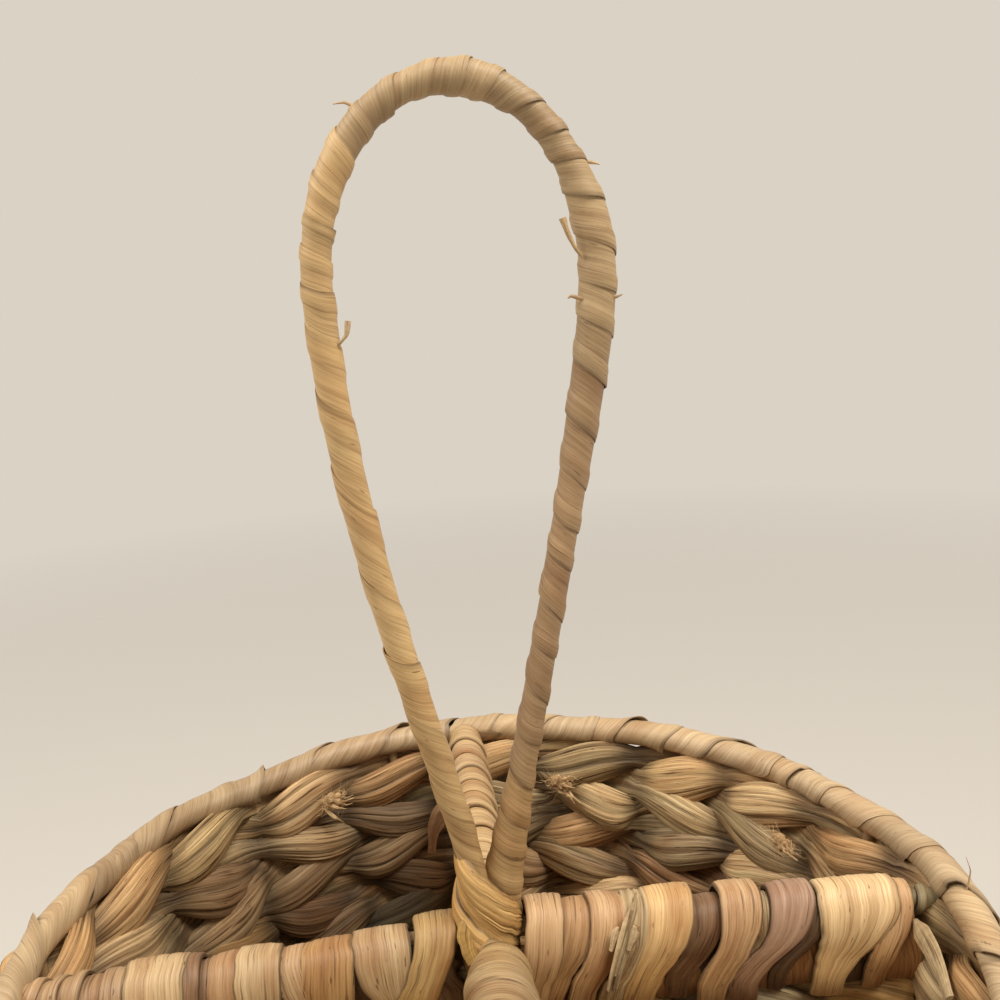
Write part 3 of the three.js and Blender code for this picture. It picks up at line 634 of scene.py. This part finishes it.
def tufts():
    """Torn strand ends inside the wall: each a knot with a few torn blades and many short hairs."""
    draw = np.random.default_rng(60)
    weave = Weave()
    # The place of each in millimetres, and the angle at which its hairs fan out
    ends = [((-39.1, 82.0, 121.2), 2.8), ((27, 86.3, 116.5), 2.1), ((79, 44, 115.5), 0.7)]
    blades, hairs, slope = 5, 125, -0.5
    steps, half_length = 24, 3.4
    part = np.linspace(-1, 1, steps)
    girth = 2 * MM * np.sqrt(np.clip(1.02 - part ** 2, 0.02, 1)) * (1 + 0.2 * np.sin(9 * part))
    for number, (spot, toward) in enumerate(ends):
        spot = np.array(spot)
        inward = -np.array([spot[0], spot[1], 0]) / np.hypot(spot[0], spot[1])
        along = np.array([-inward[1], inward[0], 0])
        lie = along * math.cos(slope) + UP * math.sin(slope)
        across = np.cross(inward, lie)
        knot = (spot + part[:, None] * half_length * lie) * MM
        stem(weave, knot, np.tile(across, (steps, 1)), np.tile(inward, (steps, 1)), girth, 0.8 * girth,
             np.tile(STRAW, (steps, 1)), 690 + number, False, 40)
        for i in range(blades + hairs):
            torn = i < blades
            fan = draw.normal(slope, 0.3) if torn else draw.normal(toward, 0.8)
            way = along * math.cos(fan) + UP * math.sin(fan)
            root = spot + along * draw.uniform(-3.6, 3.6) + UP * draw.uniform(-2.2, 2.2) + inward
            reach = draw.uniform(4, 7) if torn else 1.2 + 4.5 * draw.uniform() ** 2
            lift = draw.uniform(0.2, 1.2)
            points = [root - 2 * inward, root + way * reach * 0.5 + inward * lift, root + way * reach]
            width = draw.uniform(0.7, 1.2) if torn else draw.uniform(0.04, 0.07)
            # The hairs are pale, and lightened up to 1.7 times over straw as painted light against their own
            # shade
            blade(weave, points, inward, width * MM, STRAW * draw.uniform(1, 1.7), 700 + 200 * number + i,
                  thickness=(0.3 if torn else 0.08) * MM)
    weave.build("wall_frays", STEM)


def rim():
    """The rim's leaf strip, wound over the hoop without an end, and a loose fibre on the right."""
    draw = np.random.default_rng(7)
    core = Ring(RIM_RADIUS, RIM_HEIGHT)
    turns = 40
    stops = jittered(0, core.length, turns, 0.45, draw)
    palette = np.array([HUSK, HUSK, 0.5 * (HUSK + STRAW), 0.5 * (HUSK + TAN)])
    tints = palette[draw.integers(0, len(palette), turns)] * draw.uniform(0.9, 1.15, (turns, 1))
    # Painted shade and light: the left half of the rim is darkened and the right half lightened
    left_half, right_half = slice(None, turns // 2), slice(turns // 2, None)
    tints[left_half] *= 0.87
    tints[right_half] *= 1.08
    weave = Weave()
    girth = even(RIM_ROLL, lumps=70, spread=0.07, seed=6)
    wound(weave, core, stops, girth, 0.45 * MM, tints, 8, overlap=0.22, ragged=0.1, fold=0.14 * MM,
          curl=1.3 * MM, closed=True)
    loose = [(99, -8.7, 133), (99.7, -8.7, 135), (100.2, -8.7, 138.5), (99, -8.7, 141.8)]
    blade(weave, loose, (0, 1, 0), 0.5 * MM, PALE, 9)
    weave.build("rim_wrap", LEAF, ["rim_wrap"])


# Dividers


def rail(turn, sag=0.0):
    """The middle line of a roll; turn is its way from the middle in quarter turns, sag how far it hangs."""
    way = np.array([math.cos(turn * math.pi / 2), math.sin(turn * math.pi / 2), 0])
    return Line(*[way * x + UP * (rail_height(x) - sag) for x in (0, RAIL_END)])


def side_divider(name, turn, top, strips, seed):
    """Broad strips over the left or right rail, above a layer that crosses them, tinted dark as painted
    shade in the gaps.
    """
    draw = np.random.default_rng(seed)
    weave = Weave()
    core = rail(turn, SIDE_ROLL[1] - top)
    lean = -1 if name == "right" else 1
    ways = (0, -1, 0), core.rise
    inset = 1.2 * MM
    semi = (SIDE_ROLL[0] - inset, SIDE_ROLL[1] - inset)
    # Painted shade: the layer below is tinted dark so that the gaps between the strips look shadowed
    under = np.array([0.8 * BROWN, 0.7 * ORANGE, DARK, 0.8 * ORANGE, DARK])
    under_places = np.arange(13, 91, 6)
    under_width, under_slant, under_level = 9, -3 * lean, -2.6
    for i, place in enumerate(under_places):
        tint = under[draw.integers(0, len(under))]
        strip = (place, under_width, under_slant, under_level, 0, tint)
        lay(weave, core, ways, semi, strip, seed + 50 + i)
    for i, (place, width, slant, *rest) in enumerate(strips):
        crease = 1.3 * MM if rest[-1] is PITH else 0.35 * MM
        lay(weave, core, ways, semi, (place, width, slant * lean, *rest), seed + i, crease=crease)
    if name == "right":
        pith(weave, seed + 90)
    weave.build(f"divider_wrap_{name}", BROAD_LEAF, [f"divider_wrap_{name}"])


def pith(weave, seed):
    """Torn pale pith that shows between two strips of the right divider."""
    draw = np.random.default_rng(seed)
    spine = np.array([(30.3, -1, 137), (29, -6, 136.8), (27.4, -8, 134), (25.6, -9, 129.5),
                      (24.2, -9.2, 125), (23.2, -8.8, 120.5)])
    blades = 12
    for i in range(blades):
        shift = draw.uniform(-1, 1, 3) * (2.1, 0.5, 0.6)
        first, last = draw.integers(0, 3), draw.integers(4, 7)
        blade(weave, spine[first:last] + shift, (0, -1, 0.4), draw.uniform(1.2, 2.4) * MM,
              PITH * draw.uniform(0.8, 1.3), seed + i, thickness=0.9 * MM, point=0.5)


def middle_divider(name, turn, semi, turns, start, end, seed):
    """A narrower strip wound over the front or back rail, closed over at its inner end. A tail of it hangs
    beside the back roll."""
    draw = np.random.default_rng(seed)
    core = rail(turn, semi[1] - ROLL_TOP)
    stops = jittered(start, end, turns, 0.25, draw)
    tints = np.array([STRAW, 0.5 * (STRAW + TAN), 0.5 * (STRAW + GOLD)])[draw.integers(0, 3, turns)]
    # Painted light: the back roll's strip is made 1.4 times lighter than the front roll's
    tints = tints * draw.uniform(0.68, 0.82, (turns, 1)) * (1.4 if name == "back" else 1)
    thickness = 0.6 * MM
    rounded = start + np.array([0, 1, 2.5, 4.5, 7]) * MM
    shares = np.array([0, *rounded, core.length]) / core.length
    radii = np.array([0.42, 0.42, 0.62, 0.82, 0.94, 1, 1]) * (semi[0] - thickness)
    weave = Weave()
    wound(weave, core, stops, (shares, radii), thickness, tints, seed + 1, overlap=0.35,
          oval=semi[1] / semi[0], dome=0.2 * MM, fold=0.12 * MM, start=-1.6)
    if name == "back":
        tail = [(-5, 34, 140), (-8.4, 33, 142), (-11, 33, 137), (-12, 33, 131)]
        blade(weave, tail, (0.2, -1, 0.3), 4.5 * MM, BROWN, seed + 2, point=0.4)
    weave.build(f"divider_wrap_{name}", BROAD_LEAF, [f"divider_wrap_{name}"])


def lashing(name, turn, radius, tint, seed):
    """The tie between a rail's wrapping and the rim. The right one has a loose end."""
    core = rail(turn)
    thickness = 0.8 * MM
    tints = [tint, 0.85 * tint, 0.95 * tint]
    stops = np.linspace(TIE_START, TIE_END, len(tints) + 1)
    weave = Weave()
    wound(weave, core, stops, even(radius), thickness, tints, seed, overlap=0.4, dome=0.2 * MM)
    if name == "right":
        loose = [(90.3, -4.8, 125.2), (90, -9, 124.7), (89.4, -14, 124.7), (88.3, -19.7, 124.4),
                 (86.2, -27, 124)]
        blade(weave, loose, (-0.7, 0, 0.7), 4 * MM, 0.85 * PITH, seed + 1, thickness=thickness, point=0.5)
    weave.build(f"divider_lashing_{name}", BROAD_LEAF, [f"divider_lashing_{name}"])


def panel(name, turn, hang, seed):
    """A woven sheet below a roll: pairs of stems that twine along it."""
    draw = np.random.default_rng(seed)
    way = np.array([math.cos(turn * math.pi / 2), math.sin(turn * math.pi / 2), 0])
    over = np.array([-way[1], way[0], 0])
    rows, waves = 7, 3
    height, start, wall_room = 0.11, 5.4 * MM, 7.6 * MM
    steps = LOBE_STEPS * waves + 1
    lobe = np.linspace(0, waves, steps)
    weave = Weave()
    for row in range(rows):
        end = stake_radius(BASE_TOP + (row + 0.5) / rows * height) - wall_room
        x = np.linspace(start, end, steps)
        pitch = (rail_height(x) - hang - BASE_TOP) / rows
        for strand in (0, 1):
            phase = math.pi * (lobe + strand)
            bulge = np.abs(np.cos(phase))
            z = BASE_TOP + pitch * (row + 0.5 + (-1) ** row * 0.26 * np.sin(phase))
            centre = x[:, None] * way + (2.5 * MM * np.cos(phase))[:, None] * over + z[:, None] * UP
            shade = np.array([TAN, BROWN, GREEN, GOLD])[draw.integers(0, 4)] * draw.uniform(0.75, 1)
            half_side, half_up = np.full(steps, 2.2 * MM), pitch * (0.27 + 0.27 * bulge)
            stem(weave, centre, np.tile(over, (steps, 1)), np.tile(UP, (steps, 1)), half_side, half_up,
                 np.tile(shade, (steps, 1)), seed + 10 * row + strand, False, 40)
    weave.build(f"divider_panel_{name}", STEM, [f"divider_panel_{name}"])


# Base


def base():
    """The base mat: rings of twined stem, closed by a twisted border under the wall."""
    draw = np.random.default_rng(50)
    weave = Weave()
    palette = np.array([STRAW, GOLD, TAN, GREEN, BROWN])
    first_ring, ring_pitch = 12, 13.6
    for ring, spokes in enumerate((3, 5, 9, 11, 15, 17)):
        radius = (first_ring + ring_pitch * ring) * MM
        lobes = 2 * spokes
        steps = lobes * LOBE_STEPS
        lobe = np.arange(steps) / LOBE_STEPS
        angle = 4 * math.pi * lobe / lobes
        out = np.stack([np.cos(angle), np.sin(angle), np.zeros(steps)], axis=-1)
        raised, across = np.cos(math.pi * lobe), np.sin(math.pi * lobe)
        centre = out * (radius + 3.4 * MM * across * (-1) ** ring)[:, None]
        centre = centre + (BASE_MIDDLE + 2.25 * MM * raised)[:, None] * UP
        hues = palette[draw.integers(0, len(palette), lobes)]
        tints = between(hues * draw.uniform(0.8, 1.05, (lobes, 1)), lobe)
        stem(weave, centre, out, np.tile(UP, (steps, 1)), (3.4 + 3.8 * np.abs(raised)) * MM,
             np.full(steps, 2.2 * MM), tints, 300 + ring, True, 48)
    # A short stem closes the middle
    steps = 24
    x = np.linspace(-6, 6, steps) * MM
    girth = 5.5 * MM * np.sqrt(np.clip(1 - (x / (6.3 * MM)) ** 2, 0.02, 1))
    centre = np.stack([x, np.zeros(steps), np.full(steps, BASE_MIDDLE)], axis=-1)
    stem(weave, centre, np.tile(np.array([0.0, 1, 0]), (steps, 1)), np.tile(UP, (steps, 1)), girth,
         0.78 * girth, np.tile(TAN, (steps, 1)), 320, False)
    weave.build("base_mat", STEM, ["base_mat"])

    border = Weave()
    steps, twists, height = 900, 38, 4.7 * MM
    half_side, half_up = np.full(steps, 2.5 * MM), np.full(steps, 2.6 * MM)
    angle = 2 * math.pi * np.arange(steps) / steps
    out = np.stack([np.cos(angle), np.sin(angle), np.zeros(steps)], axis=-1)
    for strand in (0, 1):
        twist = twists * angle + math.pi * strand
        centre = out * (BORDER_RADIUS + 2.2 * MM * np.cos(twist))[:, None]
        centre = centre + (height + 1.9 * MM * np.sin(twist))[:, None] * UP
        tints = between(np.array([STRAW, GOLD, TAN, GREEN, TAN, STRAW])[draw.permutation(6)], angle * 2)
        stem(border, centre, out, np.tile(UP, (steps, 1)), half_side, half_up, tints, 330 + strand, True,
             24)
    border.build("base_border", STEM)


# Handle


def handle():
    """The loop's leaf strip: long turns up the left leg, short ones over the top and down the right. Frayed
    fibres stand off it."""
    draw = np.random.default_rng(21)
    core = Drop(RIM_HEIGHT + 2 * MM)
    # How many turns each stretch has, and how long they are against each other
    stretches = [(8, 1.9), (14, 0.75), (17, 1.1)]
    steps = np.concatenate([np.full(number, length) for number, length in stretches])
    turns = len(steps)
    steps = steps * draw.uniform(0.75, 1.25, turns)
    stops = np.concatenate([[0], np.cumsum(steps) / steps.sum()]) * core.length
    # Hues from the left foot to the right one, and how many turns have each
    hues = [(0.55 * (GOLD + STRAW), 13), (0.81 * STRAW, 13), (0.83 * TAN, 9), (0.46 * (TAN + GOLD), 4)]
    tints = np.vstack([np.tile(hue, (number, 1)) for hue, number in hues])
    tints = tints * draw.uniform(0.86, 1.1, (turns, 1))
    # Shares of the loop's length, and the radius over the strip there in millimetres
    lumps = [
        (0, 2.4), (0.12, 2.7), (0.25, 2.8), (0.35, 2.8), (0.39, 2.6), (0.42, 2.85), (0.45, 2.75),
        (0.48, 2.5), (0.51, 3.2), (0.54, 2.55), (0.57, 2.6), (0.6, 3.3), (0.65, 3.4), (0.7, 3),
        (0.74, 2.6), (0.82, 2.5), (0.9, 2.6), (1, 4.4),
    ]
    shares, radii = np.array(lumps).T
    weave = Weave()
    wound(weave, core, stops, (shares, radii * MM), 0.32 * MM, tints, 22, raised=1, ragged=0.03,
          curl=0.3 * MM, fold=0.05 * MM)
    # Points and width in millimetres, and tint; the first two get wider towards their ends
    flared = 2
    frays = [
        ([(25.5, -2.5, 268.5), (24.2, -3, 270.1), (23, -3, 272.7), (22.1, -3, 275.6)], 0.7, STRAW),
        ([(-21, -1, 255), (-19.3, -2, 256.4), (-18, -2, 257.8), (-17.6, -2, 260.2)], 0.6, PALE),
        ([(26, -2, 260.8), (24, -2, 261.5), (23.1, -2, 261.8), (22.5, -2, 261.4)], 0.8, TAN),
        ([(29.5, -2, 261.4), (31.4, -2, 261), (32.6, -2, 261.4)], 0.7, STRAW),
        ([(-12.5, 0, 296.4), (-14.5, 0, 297.5), (-16.6, 0, 297.3)], 0.6, PALE),
        ([(26.5, 0, 285.4), (28.4, 0, 285), (29.8, 0, 284.6)], 0.8, PALE),
    ]
    for i, (points, width, tint) in enumerate(frays):
        blade(weave, points, (0, 1, 0.1), width * MM, tint, 800 + i, point=1.8 if i < flared else 0.4)
    weave.build("handle_wrap", LEAF, ["handle_wrap"])


def binding():
    """Golden strips bound slantwise round both legs where they meet, with a loose tab below them."""
    weave = Weave()
    x, top = -0.2 * MM, RIM_HEIGHT + 40 * MM
    core = Line((x, 0, 0), (x, 0, top))
    ways = (1, 0, 0), (0, -1, 0)
    semi = (5.4 * MM, 5 * MM)
    slant, narrowing = -13, 0.3
    strips = [(120, 10, 0.4), (128.5, 11.5, 1.8), (135.5, 9, 0), (141, 10, 0.8)]
    for i, (z, width, level) in enumerate(strips):
        strip = (z, width, slant, level, narrowing, GOLD * (1.36 - 0.1 * (i % 2)))
        lay(weave, core, ways, semi, strip, 31 + i, dome=0.9 * MM, box=2, steady=True, crease=0.6 * MM)
    tab = [(-4.2, -3.5, 138), (-5.2, -5.4, 135.5), (-5.2, -6.6, 132.5), (-4.2, -7.2, 130)]
    tint = GOLD * (0.85, 0.82, 0.66)
    blade(weave, tab, (0.3, -1, 0.2), 4.8 * MM, tint, 40, thickness=0.8 * MM, point=0.7)
    weave.build("handle_binding", BROAD_LEAF, ["handle_binding"])


# Strips over the side rails: place, width, slant and level in millimetres, narrowing, tint
RIGHT_STRIPS = [
    (16.8, 9.5, 6, -0.6, 0.2, 0.53 * (TAN + ORANGE)),
    (10.3, 8, 4, 1, 0.2, 1.25 * TAN),
    (30, 7.5, 6, 0.5, 0.1, PITH),
    (23.4, 7.5, 6, 0.7, 0.2, 1.28 * TAN),
    (37.2, 10.5, 8, 1, 0.3, 0.68 * (GOLD + TAN)),
    (45, 7, 7, -1.4, 0.2, 0.95 * BROWN),
    (57.8, 4.5, 6, -1.8, 0.2, PITH),
    (52, 9, 7, 1, 0.3, 1.2 * TAN),
    (69, 5, 9, -1.8, 0.2, 1.3 * DARK),
    (63.4, 9.5, 11, 0, 0.3, 1.35 * MAUVE),
    (86.6, 8, 5, -0.6, 0.3, 1.3 * TAN),
    (78.3, 17, 7, 0, 0.6, 1.28 * STRAW),
]
LEFT_STRIPS = [
    (11.4, 9, 9.5, 1.6, 0, 0.8 * GOLD),
    (42, 6, -5, -0.8, 0.2, TAN),
    (34.5, 10.5, 3, -0.2, -0.25, 0.45 * (ORANGE + GOLD)),
    (23.5, 12, -3, 0, 0.8, 0.85 * STRAW),
    (54.5, 7, 2, 0.4, 0, 0.42 * (ORANGE + TAN)),
    (47.9, 9, 2, 0.7, 0, 0.9 * STRAW),
    (59, 5, 2, -0.4, 0, 0.9 * BROWN),
    (63, 6, 1, 0.8, 0, BROWN),
    (69, 12.5, 2, 1.8, 0.2, 0.95 * STRAW),
    (77.5, 5.5, 1, 0.4, 0, 0.8 * TAN),
    (83, 8.5, 1, 0.2, 0, 0.85 * TAN),
    (89, 6, 1, 0, 0, 0.8 * TAN),
]


def build_caddy():
    """All the pieces of the caddy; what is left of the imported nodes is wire."""
    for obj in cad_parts.values():
        obj.data.materials.clear()
        obj.data.materials.append(WIRE)
    for row in range(ROWS):
        wall_row(row)
    stakes()
    tufts()
    rim()
    side_divider("right", 0, RIGHT_TOP, RIGHT_STRIPS, 400)
    side_divider("left", 2, LEFT_TOP, LEFT_STRIPS, 440)
    middle_divider("back", 1, BACK_ROLL, 10, ROLL_START, BACK_END, 480)
    middle_divider("front", 3, FRONT_ROLL, 7, FRONT_START, FRONT_END, 490)
    # In quarter turns from the right: roll, its top, and the radius and tint of its tie
    ties = [("right", SIDE_ROLL, RIGHT_TOP, 2.2, 0.9 * OLIVE), ("back", BACK_ROLL, ROLL_TOP, 4, TAN),
            ("left", SIDE_ROLL, LEFT_TOP, 4, TAN), ("front", FRONT_ROLL, ROLL_TOP, 4, TAN)]
    for turn, (name, roll, top, radius, tint) in enumerate(ties):
        lashing(name, turn, radius * MM, tint, 500 + 5 * turn)
        panel(name, turn, 2 * roll[1] - top - PANEL_OVERLAP, 600 + 100 * turn)
    base()
    handle()
    binding()


# Stage


def floor():
    """A pale floor that fades into the background far from the caddy."""
    mesh = bpy.data.meshes.new("floor")
    reach = 3
    fade_start, fade_end = 0.2, 1.0
    corners = [(-reach, -reach, 0), (reach, -reach, 0), (reach, reach, 0), (-reach, reach, 0)]
    mesh.from_pydata(corners, [], [(0, 1, 2, 3)])
    material = bpy.data.materials.new("floor")
    material.use_nodes = True
    tree = material.node_tree
    shader = tree.nodes["Principled BSDF"]
    shader.inputs["Base Color"].default_value = (*colour(204, 197, 187), 1)
    shader.inputs["Roughness"].default_value = 0.9
    place = tree.nodes.new("ShaderNodeTexCoord")
    away = tree.nodes.new("ShaderNodeVectorMath")
    away.operation = "LENGTH"
    tree.links.new(place.outputs["Object"], away.inputs[0])
    clear = tree.nodes.new("ShaderNodeBsdfTransparent")
    mixed = tree.nodes.new("ShaderNodeMixShader")
    tree.links.new(ranged(tree, away.outputs["Value"], fade_start, fade_end, 0, 1), mixed.inputs[0])
    tree.links.new(shader.outputs[0], mixed.inputs[1])
    tree.links.new(clear.outputs[0], mixed.inputs[2])
    tree.links.new(mixed.outputs[0], tree.nodes["Material Output"].inputs["Surface"])
    mesh.materials.append(material)
    obj = bpy.data.objects.new("floor", mesh)
    bpy.context.scene.collection.objects.link(obj)


def lamp(name, place, aim, size, power, tone):
    """A square lamp turned towards a point."""
    data = bpy.data.lights.new(name, "AREA")
    data.size = size
    data.energy = power
    data.color = tone
    obj = bpy.data.objects.new(name, data)
    obj.location = place
    obj.rotation_euler = (Vector(aim) - Vector(place)).to_track_quat("-Z", "Y").to_euler()
    bpy.context.scene.collection.objects.link(obj)


def light():
    """Soft light from all round, a key lamp from the right and a weaker one from the left. The world that
    the camera sees is plain and pale."""
    world = bpy.data.worlds.new("studio")
    bpy.context.scene.world = world
    world.use_nodes = True
    tree = world.node_tree
    soft = tree.nodes["Background"]
    soft.inputs["Color"].default_value = (*colour(240, 234, 224), 1)
    soft.inputs["Strength"].default_value = 0.5
    seen = tree.nodes.new("ShaderNodeBackground")
    seen.inputs["Color"].default_value = (*colour(218, 210, 197), 1)
    path = tree.nodes.new("ShaderNodeLightPath")
    first, second = (tree.nodes.new("ShaderNodeMath") for _ in range(2))
    for node in (first, second):
        node.operation = "MAXIMUM"
    tree.links.new(path.outputs["Is Camera Ray"], first.inputs[0])
    tree.links.new(path.outputs["Is Glossy Ray"], first.inputs[1])
    tree.links.new(first.outputs[0], second.inputs[0])
    tree.links.new(path.outputs["Is Transmission Ray"], second.inputs[1])
    mixed = tree.nodes.new("ShaderNodeMixShader")
    tree.links.new(second.outputs[0], mixed.inputs[0])
    tree.links.new(soft.outputs[0], mixed.inputs[1])
    tree.links.new(seen.outputs[0], mixed.inputs[2])
    tree.links.new(mixed.outputs[0], tree.nodes["World Output"].inputs["Surface"])
    lamp("key", (0.42, -0.32, 1.1), (0, 0, 0.13), 0.4, 11, (1.0, 0.96, 0.9))
    lamp("fill", (-0.65, -0.1, 0.85), (0, 0, 0.15), 0.5, 6, (1.0, 0.97, 0.93))


def camera():
    """A camera that stands where the photograph's did: close, above the rim, and a little tilted."""
    place = Vector((-7.4, -193.3, 269.6)) * MM
    yaw, pitch, roll = (math.radians(angle) for angle in (4.48, 13.14, -3.91))
    forward = Vector((math.sin(yaw) * math.cos(pitch), math.cos(yaw) * math.cos(pitch), -math.sin(pitch)))
    level = Vector((math.cos(yaw), -math.sin(yaw), 0))
    rise = level.cross(forward)
    right = math.cos(roll) * level + math.sin(roll) * rise
    up = math.cos(roll) * rise - math.sin(roll) * level
    data = bpy.data.cameras.new("camera")
    data.sensor_width = 36
    data.lens = 37.44
    data.clip_start = 0.01
    obj = bpy.data.objects.new("camera", data)
    obj.matrix_world = Matrix.Translation(place) @ Matrix((right, up, -forward)).transposed().to_4x4()
    bpy.context.scene.collection.objects.link(obj)
    bpy.context.scene.camera = obj


build_caddy()
floor()
light()
camera()
bpy.context.scene.view_settings.view_transform = "Standard"
